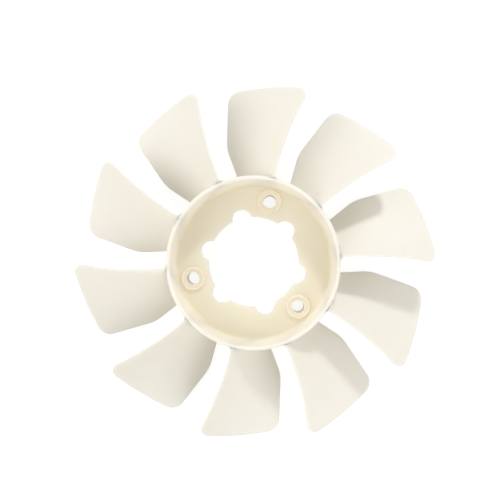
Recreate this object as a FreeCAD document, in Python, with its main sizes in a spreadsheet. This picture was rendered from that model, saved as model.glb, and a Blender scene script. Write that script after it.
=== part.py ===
"""Axial fan impeller, moulded in one piece: a shallow cup hub with ten twisted blades.

The hub lies on its rear rim, so the open cup looks up along +Z. The origin is on the
fan's axis, in the plane of the rear rim. Millimetres and degrees throughout.
"""
import FreeCAD, Part
import math
import os

import Sketcher
from FreeCAD import Placement, Rotation, Vector

doc = FreeCAD.newDocument("axial_fan_impeller")

# Driving sizes
SIZES = {
    # hub, a cup open to the front with a skirt behind its web
    "hub_radius": 43.0,
    "hub_depth": 24.0,
    "shoulder_bevel": 1.0,
    "nose_gap": 0.3,
    "mouth_bevel": 0.45,
    "mouth_wall": 1.9,
    "cup_depth": 14.0,
    "cup_draft": 5.0,
    "cup_corner_bevel": 1.0,
    "web_thickness": 2.5,
    "skirt_wall": 2.4,
    "skirt_draft": 1.5,
    "skirt_corner_bevel": 0.8,
    # opening in the web: an arc, widened by six round lobes
    "opening_inset": 9.0,
    "lobe_count": 6,
    "lobe_radius": 5.0,
    "lobe_inset": 0.4,
    "lobe_blend": 1.0,
    # three screw bosses through the web
    "boss_count": 3,
    "boss_radius": 6.1,
    "boss_rise": 1.1,
    "boss_rim_width": 1.0,
    "washer_recess": 0.5,
    "seat_recess": 3.0,
    "bolt_circle_inset": 10.5,
    "bolt_hole_radius": 3.3,
    "first_boss_angle": 71.3,
    # blades: a helical sheet, cut to its outline as seen from the front
    "blade_count": 10,
    "blade_lead": 251.0,
    "blade_drop": 19.5,
    "blade_thickness": 1.8,
    "blade_camber_radius": 120.0,
    "blade_edge_bevel": 0.5,
    "near_edge_drop": 1.4,
    "tip_radius": 90.0,
    "near_straight_run": 3.0,
    "near_edge_radius": 150.0,
    "near_tip_round": 5.0,
    "tail_tip_round": 6.5,
    "tail_tip_angle": 22.7,
    "tail_slope": 12.0,
    "tail_knee_round": 20.0,
    "tail_root_angle": 24.6,
    "tail_root_slope": 34.6,
    # material left over for the cuts that follow, and how deep a root sits in the hub's wall
    "section_bury": 11.0,
    "section_reach": 5.0,
    "section_overhang": 5.0,
    "root_bury": 1.0,
}

# How far a measured edge may lie from where it is looked for
NEAR_ENOUGH = 0.05
# Starting places for the solver: how far a curve bows, and how long a knee runs
SEED_BOW, SEED_KNEE, SEED_TURN = 1.4, 4.0, 2.0

# Sizes that follow the hub: the web's circles step in from its wall, one from the other
FOLLOWING = {
    "bolt_circle_radius": "=hub_radius - bolt_circle_inset",
    "opening_radius": "=bolt_circle_radius - opening_inset",
    "lobe_circle_radius": "=opening_radius - lobe_inset",
    "recess_radius": "=boss_radius - boss_rim_width",
    "near_edge_straight": "=hub_radius + near_straight_run",
}

sheet = doc.addObject("Spreadsheet::Sheet", "Sizes")
for row, (alias, value) in enumerate({**SIZES, **FOLLOWING}.items(), start=1):
    sheet.set(f"A{row}", alias.replace("_", " "))
    sheet.set(f"B{row}", str(value))
    sheet.setAlias(f"B{row}", alias)
doc.recompute()


def cell(alias):
    """The present value of one named size."""
    return float(sheet.get(alias))


def plane(body, role):
    """One of the body's own origin planes or axes, by its role."""
    return next(item for item in body.Origin.OriginFeatures if item.Role == role)


def new_sketch(body, name, role):
    """An empty sketch on one of the body's origin planes."""
    sketch = body.newObject("Sketcher::SketchObject", name)
    sketch.AttachmentSupport = [(plane(body, role), "")]
    sketch.MapMode = "FlatFace"
    return sketch


def bind(sketch, name, constraint, expression):
    """Add a dimension to a sketch and tie it to the sheet."""
    index = sketch.addConstraint(constraint)
    sketch.renameConstraint(index, name)
    sketch.setExpression(f"Constraints.{name}", expression)
    return index


def polar(radius, degrees):
    """A point in the plane of a sketch, by radius and angle."""
    angle = math.radians(degrees)
    return Vector(radius * math.cos(angle), radius * math.sin(angle), 0)


def arc(centre, start, end):
    """A sketch arc, run anticlockwise from start to end about its centre."""
    circle = Part.Circle(centre, Vector(0, 0, 1), (start - centre).Length)
    return Part.ArcOfCircle(circle, circle.parameter(start), circle.parameter(end))


START, END, CENTRE = range(1, 4)
ORIGIN = (-1, 1)
X_AXIS, Y_AXIS = range(-1, -3, -1)

blades = doc.addObject("PartDesign::Body", "blades")
blades.Label = "blades"
hub = doc.addObject("PartDesign::Body", "impeller")
hub.Label = "impeller"


# Blade sheet: four curved slots across the blade, lofted along its span
SECTION_COUNT = 4


def blade_section(number):
    """One slot, drawn square to the blade's span, its helix angle set by the lead."""
    share = number / (SECTION_COUNT - 1)
    sketch = new_sketch(blades, f"blade_section_{number + 1}", "YZ_Plane")
    station = (
        "(Sizes.hub_radius - Sizes.section_bury) * %(rest)s"
        " + (Sizes.tip_radius + Sizes.section_reach) * %(share)s"
    ) % {"rest": 1 - share, "share": share}
    sketch.setExpression("AttachmentOffset.Base.z", station)
    doc.recompute()
    span = sketch.AttachmentOffset.Base.z
    here = "(.AttachmentOffset.Base.z / 1 mm)"

    near_across = -((span - cell("near_edge_straight")) ** 2) / (2 * cell("near_edge_radius"))
    near = Vector(near_across, cell("hub_depth") - cell("near_edge_drop"), 0)
    run = cell("blade_drop") * 2 * math.pi * span / cell("blade_lead")
    tail = near + Vector(run, -cell("blade_drop"), 0)

    # the arcs' centre lies in front of the sheet, which makes its front hollow
    chord = tail - near
    camber = cell("blade_camber_radius")
    normal = Vector(-chord.y, chord.x, 0).normalize()
    centre = near + chord * 0.5 + normal * math.sqrt(camber ** 2 - chord.Length ** 2 / 4)
    half = cell("blade_thickness") / 2
    extra = cell("section_overhang") / camber
    first = math.atan2(near.y - centre.y, near.x - centre.x) - extra
    last = math.atan2(tail.y - centre.y, tail.x - centre.x) + extra

    def on_arc(radius, angle):
        return centre + Vector(radius * math.cos(angle), radius * math.sin(angle), 0)

    front_near, front_tail = on_arc(camber - half, first), on_arc(camber - half, last)
    back_near, back_tail = on_arc(camber + half, first), on_arc(camber + half, last)

    chord_line = sketch.addGeometry(Part.LineSegment(near, tail), True)
    front = sketch.addGeometry(arc(centre, front_near, front_tail), False)
    tail_end = sketch.addGeometry(Part.LineSegment(front_tail, back_tail), False)
    back = sketch.addGeometry(arc(centre, back_near, back_tail), False)
    near_end = sketch.addGeometry(Part.LineSegment(back_near, front_near), False)

    join = Sketcher.Constraint
    sketch.addConstraint(
        [
            join("Coincident", front, CENTRE, back, CENTRE),
            join("Coincident", front, END, tail_end, START),
            join("Coincident", tail_end, END, back, END),
            join("Coincident", back, START, near_end, START),
            join("Coincident", near_end, END, front, START),
            join("PointOnObject", front, CENTRE, near_end),
            join("PointOnObject", front, CENTRE, tail_end),
        ]
    )
    bind(
        sketch,
        "near_across",
        join("DistanceX", *ORIGIN, chord_line, START, near.x),
        f"-pow({here} - Sizes.near_edge_straight; 2) / (2 * Sizes.near_edge_radius)",
    )
    bind(
        sketch,
        "near_height",
        join("DistanceY", *ORIGIN, chord_line, START, near.y),
        "Sizes.hub_depth - Sizes.near_edge_drop",
    )
    bind(
        sketch,
        "run",
        join("DistanceX", chord_line, START, chord_line, END, run),
        f"Sizes.blade_drop * 2 * pi * {here} / Sizes.blade_lead",
    )
    bind(
        sketch,
        "drop",
        join("DistanceY", chord_line, END, chord_line, START, -chord.y),
        "Sizes.blade_drop",
    )
    for name, point in (("camber_near", START), ("camber_tail", END)):
        bind(
            sketch,
            name,
            join("Distance", front, CENTRE, chord_line, point, camber),
            "Sizes.blade_camber_radius",
        )
    bind(
        sketch,
        "front_radius",
        join("Radius", front, camber - half),
        "Sizes.blade_camber_radius - Sizes.blade_thickness / 2",
    )
    bind(
        sketch,
        "back_radius",
        join("Radius", back, camber + half),
        "Sizes.blade_camber_radius + Sizes.blade_thickness / 2",
    )
    for name, here_point, there_point in (
        ("near_overhang", START, START),
        ("tail_overhang", END, END),
    ):
        bind(
            sketch,
            name,
            join("Distance", front, here_point, chord_line, there_point, extra * camber),
            "Sizes.section_overhang",
        )
    return sketch


sections = [blade_section(number) for number in range(SECTION_COUNT)]
blade_sheet = blades.newObject("PartDesign::AdditiveLoft", "blade_sheet")
blade_sheet.Profile = sections[0]
blade_sheet.Sections = sections[1:]
blade_sheet.Ruled = False
doc.recompute()


# Blade outline, as seen from the front: everything outside it is cut away
def outline_seeds():
    """Starting places for the outline's points, close enough for the solver."""
    tip, hub = cell("tip_radius"), cell("hub_radius")
    straight, bend = cell("near_edge_straight"), cell("near_edge_radius")
    reach = tip - straight - cell("near_tip_round")
    droop = reach ** 2 / (2 * bend)
    root = hub - cell("root_bury")
    tail_tip = polar(tip, cell("tail_tip_angle"))
    tail_root = polar(hub, cell("tail_root_angle"))
    slope, root_slope = (
        math.radians(cell("tail_slope")),
        math.radians(cell("tail_root_slope")),
    )
    # where the two straight stretches of the tail would meet
    gap = tail_tip - tail_root
    along = (gap.x * math.sin(slope) - gap.y * math.cos(slope)) / math.sin(slope - root_slope)
    knee = tail_root + Vector(math.cos(root_slope), math.sin(root_slope), 0) * along
    back = cell("tail_tip_round")
    return {
        "root_near": Vector(root, 0, 0),
        "bend": Vector(straight, 0, 0),
        "near_corner": Vector(straight + reach, -droop, 0),
        "tip_near": polar(tip, -SEED_TURN / 2),
        "tip_tail": polar(tip, cell("tail_tip_angle") - 2 * SEED_TURN),
        "tail_corner": tail_tip - Vector(math.cos(slope), math.sin(slope), 0) * back,
        "knee_out": knee + Vector(math.cos(slope), math.sin(slope), 0) * SEED_KNEE,
        "knee_in": knee - Vector(math.cos(root_slope), math.sin(root_slope), 0) * SEED_KNEE,
        "root_tail": polar(root, cell("tail_root_angle") - SEED_TURN),
        "tail_tip": tail_tip,
        "tail_hub": tail_root,
    }


def bowed(start, end):
    """A sketch arc from start to end, bowed to the right of the way it runs."""
    middle = (start + end) * 0.5
    side = (end - start).cross(Vector(0, 0, 1)).normalize()
    return Part.Arc(start, middle + side * SEED_BOW, end)


def draw_outline(sketch):
    """The blade's outline, as one closed run of tangent lines and arcs."""
    seed = outline_seeds()
    line, join = Part.LineSegment, Sketcher.Constraint
    near_line = sketch.addGeometry(line(seed["root_near"], seed["bend"]), False)
    near_arc = sketch.addGeometry(bowed(seed["near_corner"], seed["bend"]), False)
    near_round = sketch.addGeometry(bowed(seed["near_corner"], seed["tip_near"]), False)
    tip_arc = sketch.addGeometry(bowed(seed["tip_near"], seed["tip_tail"]), False)
    tail_round = sketch.addGeometry(bowed(seed["tip_tail"], seed["tail_corner"]), False)
    tail_line = sketch.addGeometry(line(seed["tail_corner"], seed["knee_out"]), False)
    knee_arc = sketch.addGeometry(bowed(seed["knee_out"], seed["knee_in"]), False)
    root_line = sketch.addGeometry(line(seed["knee_in"], seed["root_tail"]), False)
    root_arc = sketch.addGeometry(bowed(seed["root_near"], seed["root_tail"]), False)
    origin_point = Vector(0, 0, 0)
    tip_ray = sketch.addGeometry(line(origin_point, seed["tail_tip"]), True)
    hub_ray = sketch.addGeometry(line(origin_point, seed["tail_hub"]), True)
    sketch.addConstraint(
        [
            join("Horizontal", near_line),
            join("PointOnObject", near_line, START, X_AXIS),
            join("Tangent", near_line, END, near_arc, END),
            join("Tangent", near_arc, START, near_round, START),
            join("Tangent", near_round, END, tip_arc, START),
            join("Tangent", tip_arc, END, tail_round, START),
            join("Tangent", tail_round, END, tail_line, START),
            join("Tangent", tail_line, END, knee_arc, START),
            join("Tangent", knee_arc, END, root_line, START),
            join("Coincident", root_line, END, root_arc, END),
            join("Coincident", root_arc, START, near_line, START),
            join("Coincident", tip_arc, CENTRE, *ORIGIN),
            join("Coincident", root_arc, CENTRE, *ORIGIN),
            join("Coincident", tip_ray, START, *ORIGIN),
            join("Coincident", hub_ray, START, *ORIGIN),
            join("PointOnObject", tip_ray, END, tail_line),
            join("PointOnObject", hub_ray, END, root_line),
        ]
    )
    radius = {
        "near_bend": (near_arc, "near_edge_radius"),
        "near_tip_round": (near_round, "near_tip_round"),
        "tip_radius": (tip_arc, "tip_radius"),
        "tail_tip_round": (tail_round, "tail_tip_round"),
        "knee_round": (knee_arc, "tail_knee_round"),
    }
    for name, (curve, alias) in radius.items():
        bind(sketch, name, join("Radius", curve, cell(alias)), f"Sizes.{alias}")
    bind(
        sketch,
        "root_radius",
        join("Radius", root_arc, cell("hub_radius") - cell("root_bury")),
        "Sizes.hub_radius - Sizes.root_bury",
    )
    bind(
        sketch,
        "straight_run",
        join("DistanceX", *ORIGIN, near_line, END, cell("near_edge_straight")),
        "Sizes.near_edge_straight",
    )
    for name, ray, length in (("tip_ray", tip_ray, "tip_radius"), ("hub_ray", hub_ray, "hub_radius")):
        bind(sketch, name, join("Distance", ray, cell(length)), f"Sizes.{length}")
    slants = {
        "tip_ray_angle": (tip_ray, "tail_tip_angle", ""),
        "hub_ray_angle": (hub_ray, "tail_root_angle", ""),
        "tail_angle": (tail_line, "tail_slope", " + 180"),
        "root_angle": (root_line, "tail_root_slope", " + 180"),
    }
    for name, (ray, alias, turn) in slants.items():
        degrees = cell(alias) + (180 if turn else 0)
        bind(
            sketch,
            name,
            join("Angle", ray, math.radians(degrees)),
            f"Sizes.{alias}{turn}",
        )


def draw_frame(sketch):
    """A rectangle well outside the blade sheet, for the cut to run out to."""
    join = Sketcher.Constraint
    low = Vector(cell("hub_radius") - 2 * cell("section_bury"), -cell("tip_radius") / 2, 0)
    high = Vector(cell("tip_radius") + 2 * cell("section_reach"), cell("tip_radius"), 0)
    corners = [low, Vector(high.x, low.y, 0), high, Vector(low.x, high.y, 0)]
    sides = [
        sketch.addGeometry(Part.LineSegment(corners[i], corners[(i + 1) % 4]), False)
        for i in range(4)
    ]
    for i in range(4):
        sketch.addConstraint(join("Coincident", sides[i], END, sides[(i + 1) % 4], START))
        sketch.addConstraint(join("Horizontal" if i % 2 == 0 else "Vertical", sides[i]))
    bind(
        sketch,
        "frame_in",
        join("DistanceX", *ORIGIN, sides[0], START, low.x),
        "Sizes.hub_radius - 2 * Sizes.section_bury",
    )
    bind(
        sketch,
        "frame_out",
        join("DistanceX", *ORIGIN, sides[0], END, high.x),
        "Sizes.tip_radius + 2 * Sizes.section_reach",
    )
    bind(
        sketch,
        "frame_near",
        join("DistanceY", sides[0], START, *ORIGIN, -low.y),
        "Sizes.tip_radius / 2",
    )
    bind(
        sketch,
        "frame_tail",
        join("DistanceY", *ORIGIN, sides[2], START, high.y),
        "Sizes.tip_radius",
    )


outline = new_sketch(blades, "blade_outline", "XY_Plane")
draw_outline(outline)
draw_frame(outline)
blade_trim = blades.newObject("PartDesign::Pocket", "blade_trim")
blade_trim.Profile = outline
blade_trim.Type = "ThroughAll"
blade_trim.Midplane = True
doc.recompute()


def edge_names(shape, wanted):
    """The names of the shape's edges that pass the given test."""
    return [f"Edge{i}" for i, edge in enumerate(shape.Edges, start=1) if wanted(edge)]


def samples(edge, count=5):
    """Points spread along an edge, its two ends among them."""
    first, last = edge.ParameterRange
    return [edge.valueAt(first + (last - first) * i / (count - 1)) for i in range(count)]


def axis_distance(point):
    """How far a point lies from the fan's axis."""
    return math.hypot(point.x, point.y)


def dress(body, kind, name, base, wanted, alias):
    """Round or bevel the wanted edges of a feature by one named size."""
    feature = body.newObject(f"PartDesign::{kind}", name)
    feature.Base = (base, edge_names(base.Shape, wanted))
    feature.setExpression("Radius" if kind == "Fillet" else "Size", f"Sizes.{alias}")
    doc.recompute()
    return feature


# Blade edges: the rims of the sheet's two broad faces, where they stand free of the hub
broad_faces = sorted(blade_trim.Shape.Faces, key=lambda face: face.Area)[-2:]
buried = cell("hub_radius") - cell("root_bury") + NEAR_ENOUGH


def free_rim(edge):
    """True for a rim of a broad face, unless it lies inside the hub."""
    if all(axis_distance(point) < buried for point in samples(edge)):
        return False
    return any(edge.isSame(other) for face in broad_faces for other in face.Edges)


blade_edges = dress(blades, "Chamfer", "blade_edges", blade_trim, free_rim, "blade_edge_bevel")


def repeat(body, name, features, alias):
    """Repeat features in a full ring about the axis, or the whole shape if none is named."""
    pattern = body.newObject("PartDesign::PolarPattern", name)
    if features:
        pattern.Originals = features
    else:
        pattern.TransformMode = "Whole shape"
    pattern.Axis = (plane(body, "Z_Axis"), [""])
    pattern.Angle = 360
    pattern.setExpression("Occurrences", f"Sizes.{alias}")
    pattern.Refine = bool(features)
    body.Tip = pattern
    doc.recompute()
    return pattern


def value_of(expression):
    """The present value of an expression, given as a step in a sketch's path."""
    return float(sheet.evalExpression(expression.replace("Sizes.", "")))


def draw_path(sketch, corners):
    """A closed run of lines, each corner placed by its radius and its height.

    Both are expressions of the sheet's sizes, or None where the corner is on an axis.
    """
    join = Sketcher.Constraint
    points = [Vector(*(value_of(step) if step else 0 for step in pair), 0) for pair in corners]
    count = len(points)
    sides = [
        sketch.addGeometry(Part.LineSegment(points[i], points[(i + 1) % count]), False)
        for i in range(count)
    ]
    for i in range(count):
        sketch.addConstraint(join("Coincident", sides[i], END, sides[(i + 1) % count], START))
    for i, pair in enumerate(corners):
        for kind, axis, step in zip(("DistanceX", "DistanceY"), (Y_AXIS, X_AXIS), pair):
            if step is None:
                sketch.addConstraint(join("PointOnObject", sides[i], START, axis))
            else:
                place = join(kind, *ORIGIN, sides[i], START, value_of(step))
                bind(sketch, f"{kind}_{i + 1}", place, step)
    return sides


def turn(body, name, kind, corners):
    """Add or cut away a turned shape: the path is one half of its section."""
    sketch = new_sketch(body, f"{name}_section", "XZ_Plane")
    draw_path(sketch, corners)
    feature = body.newObject(f"PartDesign::{kind}", name)
    feature.Profile = sketch
    feature.ReferenceAxis = (sketch, ["V_Axis"])
    feature.Angle = 360
    doc.recompute()
    return feature


def disc(sketch, radius_alias, place=None):
    """A full circle in a sketch: at its middle, or out on a ray at an angle.

    place names the ray's length and gives its angle as an expression.
    """
    join = Sketcher.Constraint
    centre = Vector(0, 0, 0)
    if place:
        length, turn = place
        centre = polar(cell(length), value_of(turn))
        ray = sketch.addGeometry(Part.LineSegment(Vector(0, 0, 0), centre), True)
        sketch.addConstraint(join("Coincident", ray, START, *ORIGIN))
        bind(sketch, "reach", join("Distance", ray, centre.Length), f"Sizes.{length}")
        bind(sketch, "turn", join("Angle", ray, math.radians(value_of(turn))), turn)
    circle = sketch.addGeometry(Part.Circle(centre, Vector(0, 0, 1), cell(radius_alias)), False)
    where = (ray, END) if place else ORIGIN
    sketch.addConstraint(join("Coincident", circle, CENTRE, *where))
    bind(sketch, "radius", join("Radius", circle, cell(radius_alias)), f"Sizes.{radius_alias}")


def cut_through(body, name, sketch):
    """Cut a sketch's shape straight through the body, both ways from its plane."""
    pocket = body.newObject("PartDesign::Pocket", name)
    pocket.Profile = sketch
    pocket.Type = "ThroughAll"
    pocket.Midplane = True
    doc.recompute()
    return pocket


# Nose: cut level with the rim, and clear of the rim's shoulder by a fine gap
clear = "Sizes.hub_radius + Sizes.section_reach"
above = "Sizes.hub_depth + Sizes.section_overhang"
behind_nose = "Sizes.hub_radius + Sizes.nose_gap"
nose_foot = "Sizes.hub_depth - Sizes.shoulder_bevel - Sizes.nose_gap"
nose_trim = turn(
    blades,
    "nose_trim",
    "Groove",
    [
        (None, nose_foot),
        (behind_nose, nose_foot),
        (behind_nose, "Sizes.hub_depth"),
        (clear, "Sizes.hub_depth"),
        (clear, above),
        (None, above),
    ],
)
blade_ring = repeat(blades, "blade_ring", [], "blade_count")


# Hub: a cup in front of the web and a skirt behind it, turned from one section
floor = "Sizes.hub_depth - Sizes.cup_depth"
web_back = f"{floor} - Sizes.web_thickness"
mouth = "Sizes.hub_radius - Sizes.mouth_wall"
skirt = "Sizes.hub_radius - Sizes.skirt_wall"
cup_foot = f"{mouth} - Sizes.cup_depth * tan(Sizes.cup_draft)"
skirt_head = f"{skirt} - ({web_back}) * tan(Sizes.skirt_draft)"
hub_turning = turn(
    hub,
    "hub_turning",
    "Revolution",
    [
        (None, floor),
        (cup_foot, floor),
        (mouth, "Sizes.hub_depth"),
        ("Sizes.hub_radius", "Sizes.hub_depth"),
        ("Sizes.hub_radius", None),
        (skirt, None),
        (skirt_head, web_back),
        (None, web_back),
    ],
)


def circle_at(radius, height):
    """A test for a full round edge about the axis at this radius and height."""

    def wanted(edge):
        return edge.isClosed() and all(
            abs(axis_distance(point) - radius) < NEAR_ENOUGH
            and abs(point.z - height) < NEAR_ENOUGH
            for point in samples(edge)
        )

    return wanted


bevelled_corners = (
    ("cup_corner_bevel", cup_foot, floor),
    ("skirt_corner_bevel", skirt_head, web_back),
    ("mouth_bevel", mouth, "Sizes.hub_depth"),
    ("shoulder_bevel", "Sizes.hub_radius", "Sizes.hub_depth"),
)
bevelled = hub_turning
for alias, radius, height in bevelled_corners:
    corner = circle_at(value_of(radius), value_of(height))
    bevelled = dress(hub, "Chamfer", alias, bevelled, corner, alias)

# Opening in the web, between the bosses
opening_sketch = new_sketch(hub, "opening_outline", "XY_Plane")
disc(opening_sketch, "opening_radius")
opening = cut_through(hub, "opening", opening_sketch)

lobe_sketch = new_sketch(hub, "lobe_outline", "XY_Plane")
lobe_turn = "Sizes.first_boss_angle + 180 / Sizes.lobe_count"
disc(lobe_sketch, "lobe_radius", ("lobe_circle_radius", lobe_turn))
lobe = cut_through(hub, "lobe", lobe_sketch)
lobe_ring = repeat(hub, "lobe_ring", [lobe], "lobe_count")


def lobe_cusp(edge):
    """An upright edge in the web, where a lobe runs into the opening's arc."""
    first, *others = samples(edge)
    upright = all(math.hypot(p.x - first.x, p.y - first.y) < NEAR_ENOUGH for p in others)
    within = abs(axis_distance(first) - cell("opening_radius")) < NEAR_ENOUGH
    return upright and within


lobe_blend = dress(hub, "Fillet", "lobe_blend", lobe_ring, lobe_cusp, "lobe_blend")

# Screw bosses: each stands a little proud of the web in front and seats on the motor behind
boss_turn = "Sizes.first_boss_angle"
boss_sketch = new_sketch(hub, "boss_outline", "XY_Plane")
boss_sketch.setExpression("AttachmentOffset.Base.z", "Sizes.seat_recess")
disc(boss_sketch, "boss_radius", ("bolt_circle_radius", boss_turn))
boss = hub.newObject("PartDesign::Pad", "boss")
boss.Profile = boss_sketch
boss.setExpression("Length", f"{floor} + Sizes.boss_rise - Sizes.seat_recess")
doc.recompute()
boss_ring = repeat(hub, "boss_ring", [boss], "boss_count")

# A shallow recess in each boss, inside a narrow rim, takes the screw's washer
recess_sketch = new_sketch(hub, "washer_recess_outline", "XY_Plane")
recess_sketch.setExpression("AttachmentOffset.Base.z", f"{floor} + Sizes.boss_rise")
disc(recess_sketch, "recess_radius", ("bolt_circle_radius", boss_turn))
recess = hub.newObject("PartDesign::Pocket", "washer_recess")
recess.Profile = recess_sketch
recess.setExpression("Length", "Sizes.washer_recess")
doc.recompute()
recess_ring = repeat(hub, "recess_ring", [recess], "boss_count")

bolt_hole_sketch = new_sketch(hub, "bolt_hole_outline", "XY_Plane")
disc(bolt_hole_sketch, "bolt_hole_radius", ("bolt_circle_radius", boss_turn))
bolt_hole = cut_through(hub, "bolt_hole", bolt_hole_sketch)
bolt_holes = repeat(hub, "bolt_holes", [bolt_hole], "boss_count")

# The ring of blades and the hub are one moulding
moulding = hub.newObject("PartDesign::Boolean", "moulding")
moulding.Type = "Fuse"
moulding.addObjects([blades])
hub.Tip = moulding

doc.recompute()
for item in doc.Objects:
    faults = {"Invalid", "Error"}.intersection(item.State)
    assert not faults, f"{item.Name}: {item.getStatusString()}"
assert not hub.Shape.isNull() and hub.Shape.isValid(), "the impeller has no sound shape"
assert len(hub.Shape.Solids) == 1, "the impeller is one moulding"

os.makedirs("parts", exist_ok=True)
hub.Shape.exportStep("parts/impeller.step")
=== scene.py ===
"""Axial fan impeller in natural nylon, lying on its rear rim and seen from above.

The hub is turned from one section and the blades are one blade repeated in a ring.
Sizes are in millimetres, as in the part's source, and become metres in the meshes.
"""
import math

import bpy
import numpy as np
from mathutils import Matrix, Vector


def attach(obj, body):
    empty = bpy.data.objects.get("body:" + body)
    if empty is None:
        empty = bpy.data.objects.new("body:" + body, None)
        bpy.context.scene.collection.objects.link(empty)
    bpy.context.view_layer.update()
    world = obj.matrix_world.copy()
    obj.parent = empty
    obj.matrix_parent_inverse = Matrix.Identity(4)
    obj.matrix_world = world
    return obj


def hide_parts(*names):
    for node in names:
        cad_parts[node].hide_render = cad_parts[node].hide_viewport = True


MM = 0.001

# Hub section
HUB_RADIUS, HUB_DEPTH = 43.0, 24.0
SHOULDER_ROUND, MOUTH_ROUND = 1.2, 0.5
MOUTH_WALL, CUP_DEPTH, CUP_DRAFT, CUP_CORNER = 1.9, 14.0, 5.0, 1.5
WEB_FRONT, WEB_THICKNESS = HUB_DEPTH - CUP_DEPTH, 2.5
SKIRT_WALL, SKIRT_DRAFT, SKIRT_CORNER = 2.4, 1.5, 1.0
RIM_EDGE = 0.25

# Opening in the web, with six lobes, and the three screw bosses
OPENING_RADIUS, LOBE_COUNT = 23.5, 6
LOBE_RADIUS, LOBE_CIRCLE, LOBE_BLEND = 5.0, 23.1, 1.0
BOSS_COUNT, BOSS_RADIUS, BOSS_RISE, BOSS_ROUND = 3, 6.1, 1.1, 0.4
RECESS_RADIUS, RECESS_DEPTH, RECESS_ROUND = 5.1, 0.5, 0.3
SEAT_HEIGHT, BOLT_CIRCLE, BOLT_HOLE = 3.0, 32.5, 3.3
FIRST_BOSS_ANGLE = math.radians(71.3)

# Blades
BLADE_COUNT, BLADE_LEAD, BLADE_DROP = 10, 251.0, 19.5
BLADE_THICKNESS, CAMBER_RADIUS = 1.8, 120.0
EDGE_ROUND, ROOT_FILLET = 0.6, 2.0
NEAR_EDGE_HEIGHT, NEAR_STRAIGHT, NEAR_RADIUS = 22.6, 46.0, 150.0
TIP_RADIUS, NEAR_TIP_ROUND, TAIL_TIP_ROUND = 90.0, 5.0, 6.5
TAIL_TIP_ANGLE, TAIL_SLOPE = math.radians(22.7), math.radians(12.0)
TAIL_ROOT_ANGLE, TAIL_ROOT_SLOPE = math.radians(24.6), math.radians(34.6)
KNEE_ROUND = 20.0
NOSE_GAP, BURIED = 0.3, 1.0
# how far the blade's skins keep inside the hub's rims, and how thick its edge is at the nose
FRONT_GAP, REAR_GAP, NOSE_EDGE = 0.05, 0.02, 0.2

# How finely the pieces are meshed: segments round, points and steps along, rows and columns
HUB_SEGMENTS, CIRCLE_SEGMENTS = 256, 64
LOBE_POINTS, BLEND_POINTS, ARC_POINTS = 14, 7, 5
BROW_STEPS, LIP_STEPS, KNEE_STEPS = 6, 5, 24
STRAIGHT_POINTS, BEND_POINTS, SLANT_POINTS, CORNER_POINTS = 8, 60, 40, 40
ROOT_ROWS, FILLET_ROWS, BODY_ROWS, TIP_ROWS = 4, 7, 40, 34
BLADE_COLUMNS, EVEN_SHARE = 51, 0.10
# the width of the step at the nose, the turn at which the fillet's rows begin, and the tip's rows
NOSE_STEP, FILLET_START = 0.01, 0.75
TIP_ZONE, TIP_CROWDING = 7.0, 2.2
# edges that turn more than this stay crisp, and a shorter way than this counts as none
SHARP_ANGLE, TINY = math.radians(32), 1e-12
# where the cutters begin and end, below and above the part
CUT_LOW, CUT_HIGH = -5.0, 30.0

# Nylon: its clouded off white, a painted warm shade on the web down inside the cup, its grain and its
# skin
NYLON_TONE, NYLON_CLOUD_TONE = (0.88, 0.825, 0.72, 1), (0.90, 0.85, 0.75, 1)
# painted shade: a darker, warmer tone on the web inside the cup, standing for the shade there, and the
# heights over the web where it fades out
CUP_SHADE_TONE = (0.88, 0.80, 0.645, 1)
CUP_SHADE_FROM, CUP_SHADE_BELOW = 3.0, 1.0
CLOUD = {"Scale": 28.0, "Detail": 3.0}
GRAIN = {"Scale": 900.0, "Detail": 2.0}
GRAIN_RELIEF = {"Strength": 0.12, "Distance": 0.0002}
SKIN = {
    "Roughness": 0.5,
    "IOR": 1.5,
    "Subsurface Weight": 0.9,
    "Subsurface Radius": (1.0, 0.96, 0.88),
    "Subsurface Scale": 0.006,
}

# Floor and surroundings: what they give as light, and what more the floor shows as backdrop
FLOOR_REACH = 900.0
FLOOR = {
    "Base Color": (0.35, 0.35, 0.35, 1),
    "Roughness": 0.9,
    "Specular IOR Level": 0.0,
    "Emission Color": (1, 1, 1, 1),
}
FLOOR_LIGHT, FLOOR_SHOWN = 0.30, 0.50
AROUND = {"Color": (1.0, 0.98, 0.94, 1), "Strength": 0.52}
BACKDROP = {"Color": (1, 1, 1, 1), "Strength": 1.0}

# Lamps: place and size in metres, power in watts, and colour
LAMP_AIM = (0, 0, 0.01)
LAMPS = {
    "key": ((0.50, 2.15, 1.17), 0.24, 23.2, (1, 1, 1)),
    "fill": ((-0.92, -0.12, 0.65), 0.8, 5.3, (1.0, 0.98, 0.95)),
    "front": ((0.70, -0.60, 0.68), 0.8, 4.2, (1, 1, 1)),
}

# Camera, found from the photograph: its height over the rim, lens and small tilts, and how far
# in pixels the rim's centre lies from the middle of the picture
CAMERA_DISTANCE, CAMERA_LENS = 230.8, 34.03
CAMERA_SIDE, CAMERA_FORE = math.radians(-1.78), math.radians(-0.62)
CAMERA_TURN, SENSOR_WIDTH, NEAREST = math.radians(3.81), 36.0, 0.01
RIM_CENTRE, PIXELS_PER_MM = (2.81, -13.28), 2.048


def rounded(corner, before, after, radius, steps):
    """Points of an arc that rounds one corner of a path of straight lines."""
    corner, before, after = (np.array(p, float) for p in (corner, before, after))
    a = (before - corner) / np.linalg.norm(before - corner)
    b = (after - corner) / np.linalg.norm(after - corner)
    half = math.acos(float(np.clip(a @ b, -1, 1))) / 2
    middle = corner + (a + b) / np.linalg.norm(a + b) * radius / math.sin(half)
    start, end = corner + a * radius / math.tan(half), corner + b * radius / math.tan(half)
    first, last = (math.atan2(*(p - middle)[::-1]) for p in (start, end))
    turn = (last - first + math.pi) % (2 * math.pi) - math.pi
    angles = first + turn * np.linspace(0, 1, steps + 1)
    return [tuple(middle + radius * np.array((math.cos(t), math.sin(t)))) for t in angles]


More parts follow.
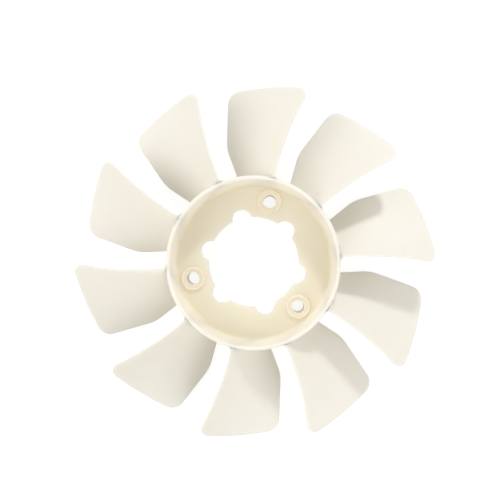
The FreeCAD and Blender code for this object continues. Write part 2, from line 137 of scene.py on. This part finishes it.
def mesh_object(name, vertices, faces):
    """A mesh object at the origin, from vertices in millimetres."""
    mesh = bpy.data.meshes.new(name)
    mesh.from_pydata([Vector(v) * MM for v in vertices], [], faces)
    mesh.validate()
    piece = bpy.data.objects.new(name, mesh)
    bpy.context.scene.collection.objects.link(piece)
    return piece


def turned(name, path, segments):
    """A closed ring-shaped solid, turned from a closed path of (radius, height)."""
    count = len(path)
    vertices, faces = [], []
    for i in range(segments):
        angle = 2 * math.pi * i / segments
        for radius, height in path:
            vertices.append((radius * math.cos(angle), radius * math.sin(angle), height))
    for i in range(segments):
        here, there = i * count, (i + 1) % segments * count
        for j in range(count):
            k = (j + 1) % count
            faces.append((here + j, there + j, there + k, here + k))
    return mesh_object(name, vertices, faces)


def cutter(name, outline):
    """A straight tool, longer than the part is deep, on an outline that runs anticlockwise."""
    count = len(outline)
    vertices = [(x, y, z) for z in (CUT_LOW, CUT_HIGH) for x, y in outline]
    faces = [tuple(range(count - 1, -1, -1)), tuple(range(count, 2 * count))]
    for i in range(count):
        j = (i + 1) % count
        faces.append((i, j, count + j, count + i))
    return mesh_object(name, vertices, faces)


# Node trees

def new_tree(name, inputs):
    """An empty geometry tree with one geometry out and the named inputs."""
    tree = bpy.data.node_groups.new(name, "GeometryNodeTree")
    tree.interface.new_socket("Geometry", in_out="OUTPUT", socket_type="NodeSocketGeometry")
    for label, kind in inputs:
        tree.interface.new_socket(label, in_out="INPUT", socket_type=f"NodeSocket{kind}")
    return tree, tree.nodes.new("NodeGroupInput"), tree.nodes.new("NodeGroupOutput")


def feed(tree, socket, value):
    """Gives a socket a value of its own, or another node's output."""
    if isinstance(value, bpy.types.NodeSocket):
        tree.links.new(value, socket)
    else:
        socket.default_value = value


def added(tree, kind, values, **settings):
    """A new node, with its settings made first and its named inputs fed after."""
    node = tree.nodes.new(kind)
    for name, setting in settings.items():
        setattr(node, name, setting)
    for label, value in values.items():
        feed(tree, node.inputs[label], value)
    return node


def maths(tree, operation, *values):
    """The result of a maths node fed with numbers or with other nodes' outputs."""
    node = added(tree, "ShaderNodeMath", {}, operation=operation)
    for socket, value in zip(node.inputs, values):
        feed(tree, socket, value)
    return node.outputs[0]


def ring_tree():
    """Repeats the incoming shape evenly about the fan's axis."""
    tree, given, out = new_tree(
        "ring about the axis",
        [
            ("Geometry", "Geometry"),
            ("Count", "Int"),
            ("First Angle", "Float"),
            ("Material", "Material"),
        ],
    )
    nodes, link = tree.nodes, tree.links.new
    points = nodes.new("GeometryNodePoints")
    link(given.outputs["Count"], points.inputs["Count"])
    index = nodes.new("GeometryNodeInputIndex")
    share = maths(tree, "DIVIDE", index.outputs[0], given.outputs["Count"])
    turn = maths(tree, "MULTIPLY_ADD", share, 2 * math.pi, given.outputs["First Angle"])
    rotation = nodes.new("ShaderNodeCombineXYZ")
    link(turn, rotation.inputs["Z"])
    place = nodes.new("GeometryNodeInstanceOnPoints")
    link(points.outputs[0], place.inputs["Points"])
    link(given.outputs["Geometry"], place.inputs["Instance"])
    link(rotation.outputs[0], place.inputs["Rotation"])
    realize = nodes.new("GeometryNodeRealizeInstances")
    link(place.outputs[0], realize.inputs[0])
    finish = nodes.new("GeometryNodeSetMaterial")
    link(realize.outputs[0], finish.inputs["Geometry"])
    link(given.outputs["Material"], finish.inputs["Material"])
    link(finish.outputs[0], out.inputs[0])
    return tree


def web_tree():
    """Joins the bosses to the turned hub, then cuts the opening and the screw holes."""
    tree, given, out = new_tree(
        "web with bosses and openings",
        [
            ("Geometry", "Geometry"),
            ("Bosses", "Object"),
            ("Opening", "Object"),
            ("Screw Holes", "Object"),
            ("Material", "Material"),
        ],
    )
    nodes, link = tree.nodes, tree.links.new

    def shape_of(label):
        info = nodes.new("GeometryNodeObjectInfo")
        link(given.outputs[label], info.inputs["Object"])
        return info.outputs["Geometry"]

    join = nodes.new("GeometryNodeMeshBoolean")
    join.operation, join.solver = "UNION", "EXACT"
    link(given.outputs["Geometry"], join.inputs["Mesh 2"])
    link(shape_of("Bosses"), join.inputs["Mesh 2"])
    cut = nodes.new("GeometryNodeMeshBoolean")
    cut.operation, cut.solver = "DIFFERENCE", "EXACT"
    link(join.outputs["Mesh"], cut.inputs["Mesh 1"])
    link(shape_of("Opening"), cut.inputs["Mesh 2"])
    link(shape_of("Screw Holes"), cut.inputs["Mesh 2"])
    realize = nodes.new("GeometryNodeRealizeInstances")
    link(cut.outputs["Mesh"], realize.inputs[0])
    finish = nodes.new("GeometryNodeSetMaterial")
    link(realize.outputs[0], finish.inputs["Geometry"])
    link(given.outputs["Material"], finish.inputs["Material"])
    link(finish.outputs[0], out.inputs[0])
    return tree


def grown(piece, tree, **values):
    """Runs a tree on a piece and keeps the result as the piece's own plain mesh."""
    modifier = piece.modifiers.new(tree.name, "NODES")
    modifier.node_group = tree
    for item in tree.interface.items_tree:
        label = item.name.replace(" ", "_").lower()
        if item.in_out == "INPUT" and label in values:
            modifier[item.identifier] = values[label]
    graph = bpy.context.evaluated_depsgraph_get()
    graph.update()
    result = bpy.data.meshes.new_from_object(piece.evaluated_get(graph))
    piece.modifiers.remove(modifier)
    piece.data = result
    return piece


# Hub

def hub_section():
    """Half of the hub's section, anticlockwise, as (radius, height)."""
    web_back = WEB_FRONT - WEB_THICKNESS
    mouth, skirt = HUB_RADIUS - MOUTH_WALL, HUB_RADIUS - SKIRT_WALL
    cup_foot = mouth - CUP_DEPTH * math.tan(math.radians(CUP_DRAFT))
    skirt_head = skirt - web_back * math.tan(math.radians(SKIRT_DRAFT))
    inner = OPENING_RADIUS - 2 * LOBE_RADIUS
    # each corner, the radius that rounds it, and the steps in that arc
    corners = [
        ((inner, web_back), 0, 0),
        ((skirt_head, web_back), SKIRT_CORNER, 5),
        ((skirt, 0.0), RIM_EDGE, 2),
        ((HUB_RADIUS, 0.0), RIM_EDGE, 2),
        ((HUB_RADIUS, HUB_DEPTH), SHOULDER_ROUND, 10),
        ((mouth, HUB_DEPTH), MOUTH_ROUND, 6),
        ((cup_foot, WEB_FRONT), CUP_CORNER, 8),
        ((inner, WEB_FRONT), 0, 0),
    ]
    path = []
    for i, (corner, radius, steps) in enumerate(corners):
        before, after = corners[i - 1][0], corners[(i + 1) % len(corners)][0]
        path += rounded(corner, before, after, radius, steps) if radius else [corner]
    return path


def opening_outline():
    """The opening's edge: an arc between lobes, their cusps blended round."""
    reach, arm = OPENING_RADIUS + LOBE_BLEND, LOBE_RADIUS + LOBE_BLEND
    x = (reach ** 2 - arm ** 2 + LOBE_CIRCLE ** 2) / (2 * LOBE_CIRCLE)
    y = math.sqrt(reach ** 2 - x ** 2)
    blend_far = math.atan2(y, x)
    lobe_turn = math.atan2(y, x - LOBE_CIRCLE)
    half_pitch = math.pi / LOBE_COUNT
    points = []
    for lobe in range(LOBE_COUNT):
        middle = FIRST_BOSS_ANGLE + half_pitch + 2 * half_pitch * lobe
        half = [(LOBE_CIRCLE + LOBE_RADIUS * math.cos(t), LOBE_RADIUS * math.sin(t))
                for t in np.linspace(0, lobe_turn, LOBE_POINTS)]
        first = math.atan2(-math.sin(lobe_turn), -math.cos(lobe_turn))
        last = math.atan2(-y, -x)
        turn = (last - first + math.pi) % (2 * math.pi) - math.pi
        half += [(x + LOBE_BLEND * math.cos(t), y + LOBE_BLEND * math.sin(t))
                 for t in first + turn * np.linspace(0, 1, BLEND_POINTS)[1:]]
        half += [(OPENING_RADIUS * math.cos(t), OPENING_RADIUS * math.sin(t))
                 for t in np.linspace(blend_far, half_pitch, ARC_POINTS)[1:-1]]
        whole = [(px, -py) for px, py in reversed(half[1:])] + half
        whole.append((OPENING_RADIUS * math.cos(half_pitch), OPENING_RADIUS * math.sin(half_pitch)))
        for px, py in whole:
            points.append((px * math.cos(middle) - py * math.sin(middle),
                           px * math.sin(middle) + py * math.cos(middle)))
    return points


def circle(radius):
    """A closed outline round the place of the first screw, before it is turned there."""
    angles = [2 * math.pi * i / CIRCLE_SEGMENTS for i in range(CIRCLE_SEGMENTS)]
    return [(BOLT_CIRCLE + radius * math.cos(t), radius * math.sin(t)) for t in angles]


def boss_shape():
    """One boss on +X, a soft rim round a shallow recess, as rings with two end faces."""
    top = WEB_FRONT + BOSS_RISE
    foot, brow = (BOSS_RADIUS, SEAT_HEIGHT), (BOSS_RADIUS, top)
    lip, seat = (RECESS_RADIUS, top), (RECESS_RADIUS, top - RECESS_DEPTH)
    wall = [foot]
    wall += rounded(brow, foot, lip, BOSS_ROUND, BROW_STEPS)
    wall += rounded(lip, brow, seat, RECESS_ROUND, LIP_STEPS)
    wall += [seat]
    count = CIRCLE_SEGMENTS
    vertices = [(x, y, z) for radius, z in wall for x, y in circle(radius)]
    faces = [tuple(range(count - 1, -1, -1))]
    for ring in range(len(wall) - 1):
        for i in range(count):
            j = (i + 1) % count
            low, high = ring * count, (ring + 1) * count
            faces.append((low + i, low + j, high + j, high + i))
    last = (len(wall) - 1) * count
    faces.append(tuple(range(last, last + count)))
    return mesh_object("boss", vertices, faces)


# Blade

def unit(angle):
    """A unit vector in the plan, by its angle."""
    return np.array((math.cos(angle), math.sin(angle)))


def arc_points(centre, radius, start, end, count):
    """Points on a circle from one place on it to another, the short way round."""
    first = math.atan2(*(start - centre)[::-1])
    last = math.atan2(*(end - centre)[::-1])
    turn = (last - first + math.pi) % (2 * math.pi) - math.pi
    angles = first + turn * np.linspace(0, 1, count)
    return centre + radius * np.column_stack((np.cos(angles), np.sin(angles)))


def near_edge():
    """The high edge in plan: straight, then bent back, then round into the tip."""
    bend_centre = np.array((NEAR_STRAIGHT, -NEAR_RADIUS))
    outside, reach = NEAR_RADIUS + NEAR_TIP_ROUND, TIP_RADIUS - NEAR_TIP_ROUND
    gap = float(np.linalg.norm(bend_centre))
    along = (reach ** 2 - outside ** 2 + gap ** 2) / (2 * gap)
    toward = bend_centre / gap
    side = np.array((-toward[1], toward[0]))
    round_centre = toward * along + side * math.sqrt(reach ** 2 - along ** 2)
    bend_end = bend_centre + (round_centre - bend_centre) * NEAR_RADIUS / outside
    tip_start = round_centre * TIP_RADIUS / reach
    along_x = np.linspace(HUB_RADIUS - BURIED, NEAR_STRAIGHT, STRAIGHT_POINTS)
    straight = np.column_stack((along_x, np.zeros(STRAIGHT_POINTS)))
    bend = arc_points(bend_centre, NEAR_RADIUS, straight[-1], bend_end, BEND_POINTS)
    corner = arc_points(round_centre, NEAR_TIP_ROUND, bend_end, tip_start, CORNER_POINTS)
    return np.vstack((straight[:-1], bend[:-1], corner))


def tail_edge():
    """The low edge in plan: a slant from the root, a knee, a slant, then the tip round."""
    tip, root = unit(TAIL_TIP_ANGLE) * TIP_RADIUS, unit(TAIL_ROOT_ANGLE) * HUB_RADIUS
    out, inner = unit(TAIL_SLOPE), unit(TAIL_ROOT_SLOPE)
    along = np.linalg.solve(np.column_stack((inner, -out)), tip - root)[0]
    knee = root + inner * along
    normal, reach = np.array((out[1], -out[0])), TIP_RADIUS - TAIL_TIP_ROUND
    base = tip + normal * TAIL_TIP_ROUND
    step = -(base @ out) + math.sqrt((base @ out) ** 2 - base @ base + reach ** 2)
    round_centre = base + out * step
    tip_end = round_centre * TIP_RADIUS / reach
    line_end = round_centre - normal * TAIL_TIP_ROUND
    bend = np.array(rounded(knee, root, line_end, KNEE_ROUND, KNEE_STEPS))
    start = root - inner * (BURIED + ROOT_FILLET)
    first = np.linspace(start, bend[0], SLANT_POINTS)
    last = np.linspace(bend[-1], line_end, SLANT_POINTS)
    corner = arc_points(round_centre, TAIL_TIP_ROUND, line_end, tip_end, CORNER_POINTS)
    return np.vstack((first[:-1], bend[:-1], last[:-1], corner))


def angle_at(edge, radii):
    """The polar angle of an edge in plan where it crosses each radius."""
    reach = np.linalg.norm(edge, axis=1)
    return np.interp(radii, reach, np.arctan2(edge[:, 1], edge[:, 0]))


def skin_height(x, y, offset):
    """The height of the blade's sheet over a plan point; offset moves off its middle."""
    across = y + (x - NEAR_STRAIGHT) ** 2 / (2 * NEAR_RADIUS)
    run = BLADE_DROP * 2 * math.pi * x / BLADE_LEAD
    chord = np.hypot(run, BLADE_DROP)
    rise = np.sqrt(CAMBER_RADIUS ** 2 - chord ** 2 / 4)
    centre_y = run / 2 + BLADE_DROP / chord * rise
    centre_z = NEAR_EDGE_HEIGHT - BLADE_DROP / 2 + run / chord * rise
    reach = CAMBER_RADIUS - offset
    return centre_z - np.sqrt(reach ** 2 - (across - centre_y) ** 2)


def edge_spacing(count, finest):
    """Shares from 0 to 1, close together at both ends, so that rounded edges stay smooth."""
    share = np.linspace(0, 1, count)
    eased = (1 - np.cos(math.pi * share)) / 2
    return eased * (1 - finest) + share * finest


def quarter_round(distance, radius):
    """How far a quarter round stands off a face, at a distance from the edge that it starts on."""
    short = np.clip(radius - distance, 0, radius)
    return radius - np.sqrt(np.maximum(radius ** 2 - short ** 2, 0))


def blade_radii():
    """The radii of the blade's grid, close together at the root fillet and at the tip."""
    wall = HUB_RADIUS + NOSE_GAP
    root = [HUB_RADIUS - BURIED, HUB_RADIUS, wall - NOSE_STEP, wall]
    turn = np.linspace(FILLET_START, math.pi / 2, FILLET_ROWS)
    fillet = HUB_RADIUS + ROOT_FILLET * (1 - np.cos(turn))
    body = np.linspace(HUB_RADIUS + ROOT_FILLET, TIP_RADIUS - TIP_ZONE, BODY_ROWS)[1:]
    tip = TIP_RADIUS - TIP_ZONE * np.linspace(1, 0, TIP_ROWS)[1:] ** TIP_CROWDING
    return np.concatenate((root, fillet, body, tip))


def rim_distance(x, y):
    """How far each point of the blade's grid lies, in plan, from the blade's free outline."""
    runs = [np.column_stack((x[ROOT_ROWS:, 0], y[ROOT_ROWS:, 0])),
            np.column_stack((x[-1], y[-1])),
            np.column_stack((x[ROOT_ROWS:, -1], y[ROOT_ROWS:, -1]))[::-1]]
    points = np.stack((x, y), axis=-1)
    distance = np.full(x.shape, np.inf)
    for run in runs:
        for start, end in zip(run[:-1], run[1:]):
            way = end - start
            length = way @ way
            if length < TINY:
                continue
            share = np.clip((points - start) @ way / length, 0, 1)
            gap = np.linalg.norm(points - start - share[..., None] * way, axis=-1)
            distance = np.minimum(distance, gap)
    return distance


def blade_skins(x, y, radii, swell):
    """Heights of the front and back skins over the grid, kept inside the hub's two rims."""
    half = BLADE_THICKNESS / 2
    front, back = skin_height(x, y, half), skin_height(x, y, -half)
    slope = (front - back) / BLADE_THICKNESS
    front = np.minimum(front + swell * slope, HUB_DEPTH - FRONT_GAP)
    back = back - swell * slope
    behind_nose = radii < HUB_RADIUS + NOSE_GAP
    nose_foot = HUB_DEPTH - SHOULDER_ROUND - NOSE_GAP
    front[behind_nose] = np.minimum(front[behind_nose], nose_foot)
    back[behind_nose] = np.minimum(back[behind_nose], nose_foot - NOSE_EDGE)
    return front, np.maximum(back, REAR_GAP)


def blade_faces(rows, columns):
    """The faces of both skins, and the narrow faces that join them round the outline."""
    under = rows * columns
    faces = []
    for i in range(rows - 1):
        for j in range(columns - 1):
            a, b = i * columns + j, (i + 1) * columns + j
            faces.append((a, b, b + 1, a + 1))
            faces.append((under + a, under + a + 1, under + b + 1, under + b))
    rim = [i * columns for i in range(rows)]
    rim += [(rows - 1) * columns + j for j in range(1, columns)]
    rim += [i * columns + columns - 1 for i in range(rows - 2, -1, -1)]
    rim += range(columns - 2, 0, -1)
    for here, there in zip(rim, rim[1:] + rim[:1]):
        faces.append((here, under + here, under + there, there))
    return faces


def blade_shape():
    """The blade on +X: a curved front and back skin, joined round the blade's outline."""
    radii = blade_radii()
    flare = quarter_round(np.maximum(radii - HUB_RADIUS, 0), ROOT_FILLET)
    first = angle_at(near_edge(), radii) - flare / radii
    last = angle_at(tail_edge(), radii) + flare / radii
    shares = edge_spacing(BLADE_COLUMNS, EVEN_SHARE)
    angles = first[:, None] + (last - first)[:, None] * shares[None, :]
    x, y = radii[:, None] * np.cos(angles), radii[:, None] * np.sin(angles)
    swell = flare[:, None] - quarter_round(rim_distance(x, y), EDGE_ROUND)
    skins = [np.stack((x, y, height), -1).reshape(-1, 3)
             for height in blade_skins(x, y, radii, swell)]
    vertices = [tuple(point) for point in np.concatenate(skins)]
    return mesh_object("blade", vertices, blade_faces(*x.shape))


# Finish

def clouded(tree, place):
    """The nylon's off white, faintly cloudy."""
    cloud = added(tree, "ShaderNodeTexNoise", {"Vector": place, **CLOUD})
    tones = {"Factor": cloud.outputs["Fac"], "A": NYLON_TONE, "B": NYLON_CLOUD_TONE}
    return added(tree, "ShaderNodeMix", tones, data_type="RGBA").outputs["Result"]


def rising(tree, value, zero_at, one_at):
    """A mask that rises evenly from 0 to 1 between two distances."""
    ends = {"Value": value, "From Min": zero_at * MM, "From Max": one_at * MM}
    return added(tree, "ShaderNodeMapRange", ends).outputs["Result"]


def cup_shade_mask(tree, place):
    """Where the painted shade goes: 1 low inside the cup, at the web, and 0 on the blades and the thin
    walls.
    """
    apart = added(tree, "ShaderNodeSeparateXYZ", {"Vector": place}).outputs
    flat = added(tree, "ShaderNodeCombineXYZ", {"X": apart["X"], "Y": apart["Y"]})
    reach = tree.nodes.new("ShaderNodeVectorMath")
    reach.operation = "LENGTH"
    feed(tree, reach.inputs[0], flat.outputs[0])
    wall = HUB_RADIUS - MOUTH_WALL
    inside = rising(tree, reach.outputs["Value"], wall, wall - MOUTH_WALL)
    low = rising(tree, apart["Z"], WEB_FRONT + CUP_SHADE_FROM, WEB_FRONT + CUP_SHADE_BELOW)
    return maths(tree, "MULTIPLY", inside, low)


def grained(tree, place):
    """The normal of a surface with the mould's faint grain."""
    grain = added(tree, "ShaderNodeTexNoise", {"Vector": place, **GRAIN})
    relief = {"Height": grain.outputs["Fac"], **GRAIN_RELIEF}
    return added(tree, "ShaderNodeBump", relief).outputs["Normal"]


def nylon():
    """Natural nylon as moulded: a dull satin, with a painted warm shade on the web inside the cup."""
    material = bpy.data.materials.new("natural nylon")
    material.use_nodes = True
    tree = material.node_tree
    place = tree.nodes.new("ShaderNodeTexCoord").outputs["Object"]
    # painted shade: the web inside the cup takes a darker, warmer tone that stands for the shade there
    tones = {"Factor": cup_shade_mask(tree, place), "A": clouded(tree, place), "B": CUP_SHADE_TONE}
    tone = added(tree, "ShaderNodeMix", tones, data_type="RGBA")
    skin = {"Base Color": tone.outputs["Result"], "Normal": grained(tree, place), **SKIN}
    for label, value in skin.items():
        feed(tree, tree.nodes["Principled BSDF"].inputs[label], value)
    return material


def backdrop_rays(tree):
    """1 where a ray shows the backdrop, to the eye or in a shine, and 0 where it lights the part."""
    rays = tree.nodes.new("ShaderNodeLightPath").outputs
    shown = maths(tree, "MAXIMUM", rays["Is Camera Ray"], rays["Is Glossy Ray"])
    return maths(tree, "MAXIMUM", shown, rays["Is Transmission Ray"])


def floor_white():
    """A plain white floor that keeps the part's soft shadow."""
    material = bpy.data.materials.new("white floor")
    material.use_nodes = True
    tree = material.node_tree
    glow = maths(tree, "MULTIPLY_ADD", backdrop_rays(tree), FLOOR_SHOWN, FLOOR_LIGHT)
    for label, value in {"Emission Strength": glow, **FLOOR}.items():
        feed(tree, tree.nodes["Principled BSDF"].inputs[label], value)
    return material


# Build

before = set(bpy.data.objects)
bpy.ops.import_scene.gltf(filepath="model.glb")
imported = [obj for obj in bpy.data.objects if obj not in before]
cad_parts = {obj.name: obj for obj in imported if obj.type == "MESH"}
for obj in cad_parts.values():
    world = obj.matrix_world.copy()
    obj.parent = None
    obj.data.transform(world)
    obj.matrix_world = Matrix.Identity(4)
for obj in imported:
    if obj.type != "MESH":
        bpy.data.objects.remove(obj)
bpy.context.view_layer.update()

scene = bpy.context.scene
plastic = nylon()
ring, web = ring_tree(), web_tree()

blades = grown(blade_shape(), ring, count=BLADE_COUNT, first_angle=0.0, material=plastic)
blades.name = blades.data.name = "blades"

bosses = grown(boss_shape(), ring, count=BOSS_COUNT, first_angle=FIRST_BOSS_ANGLE, material=plastic)
drill = cutter("screw hole", circle(BOLT_HOLE))
drills = grown(drill, ring, count=BOSS_COUNT, first_angle=FIRST_BOSS_ANGLE, material=plastic)
opening = cutter("opening", opening_outline())

hub = turned("hub", hub_section(), HUB_SEGMENTS)
hub = grown(hub, web, bosses=bosses, opening=opening, screw_holes=drills, material=plastic)
for used in (bosses, drills, opening):
    bpy.data.objects.remove(used)

for piece in (hub, blades):
    piece.data.materials.clear()
    piece.data.materials.append(plastic)
    for polygon in piece.data.polygons:
        polygon.material_index = 0
    piece.data.shade_smooth()
    piece.data.set_sharp_from_angle(angle=SHARP_ANGLE)
    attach(piece, "root")
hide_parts("impeller")

corners = ((-1, -1), (1, -1), (1, 1), (-1, 1))
floor = mesh_object("floor", [(FLOOR_REACH * x, FLOOR_REACH * y, 0) for x, y in corners], [(0, 1, 2, 3)])
floor.data.materials.append(floor_white())


# Light and camera

def lamp(name, place, size, power, colour):
    """A soft square lamp that faces the middle of the part."""
    light = bpy.data.lights.new(name, "AREA")
    light.shape, light.size, light.energy, light.color = "SQUARE", size, power, colour
    holder = bpy.data.objects.new(name, light)
    holder.location = place
    aim = Vector(LAMP_AIM) - Vector(place)
    holder.rotation_euler = aim.to_track_quat("-Z", "Y").to_euler()
    scene.collection.objects.link(holder)


def studio():
    """Even, slightly warm light from all round, before a backdrop that is seen as white."""
    world = bpy.data.worlds.new("studio")
    world.use_nodes = True
    tree = world.node_tree
    around = tree.nodes["Background"]
    for label, value in AROUND.items():
        feed(tree, around.inputs[label], value)
    backdrop = added(tree, "ShaderNodeBackground", BACKDROP)
    mix = tree.nodes.new("ShaderNodeMixShader")
    shaders = (backdrop_rays(tree), around.outputs[0], backdrop.outputs[0])
    for socket, value in zip(mix.inputs, shaders):
        feed(tree, socket, value)
    feed(tree, tree.nodes["World Output"].inputs["Surface"], mix.outputs[0])
    return world


def photo_camera():
    """A camera that looks down on the part from where the photograph was taken."""
    side, fore = CAMERA_SIDE, CAMERA_FORE
    lean_side = Matrix(((math.cos(side), 0, math.sin(side)), (0, 1, 0),
                        (-math.sin(side), 0, math.cos(side))))
    lean_fore = Matrix(((1, 0, 0), (0, math.cos(fore), math.sin(fore)),
                        (0, -math.sin(fore), math.cos(fore))))
    look = (lean_fore @ lean_side @ Matrix.Rotation(CAMERA_TURN, 3, "Z")).transposed()
    across, up = (pixels / PIXELS_PER_MM for pixels in RIM_CENTRE)
    place = look @ Vector((-across, -up, CAMERA_DISTANCE)) + Vector((0, 0, HUB_DEPTH))
    lens = bpy.data.cameras.new("camera")
    lens.lens, lens.sensor_width, lens.clip_start = CAMERA_LENS, SENSOR_WIDTH, NEAREST
    camera = bpy.data.objects.new("camera", lens)
    camera.matrix_world = Matrix.Translation(place * MM) @ look.to_4x4()
    scene.collection.objects.link(camera)
    return camera


for name, settings in LAMPS.items():
    lamp(name, *settings)
scene.world = studio()
scene.camera = photo_camera()
scene.view_settings.view_transform = "Standard"
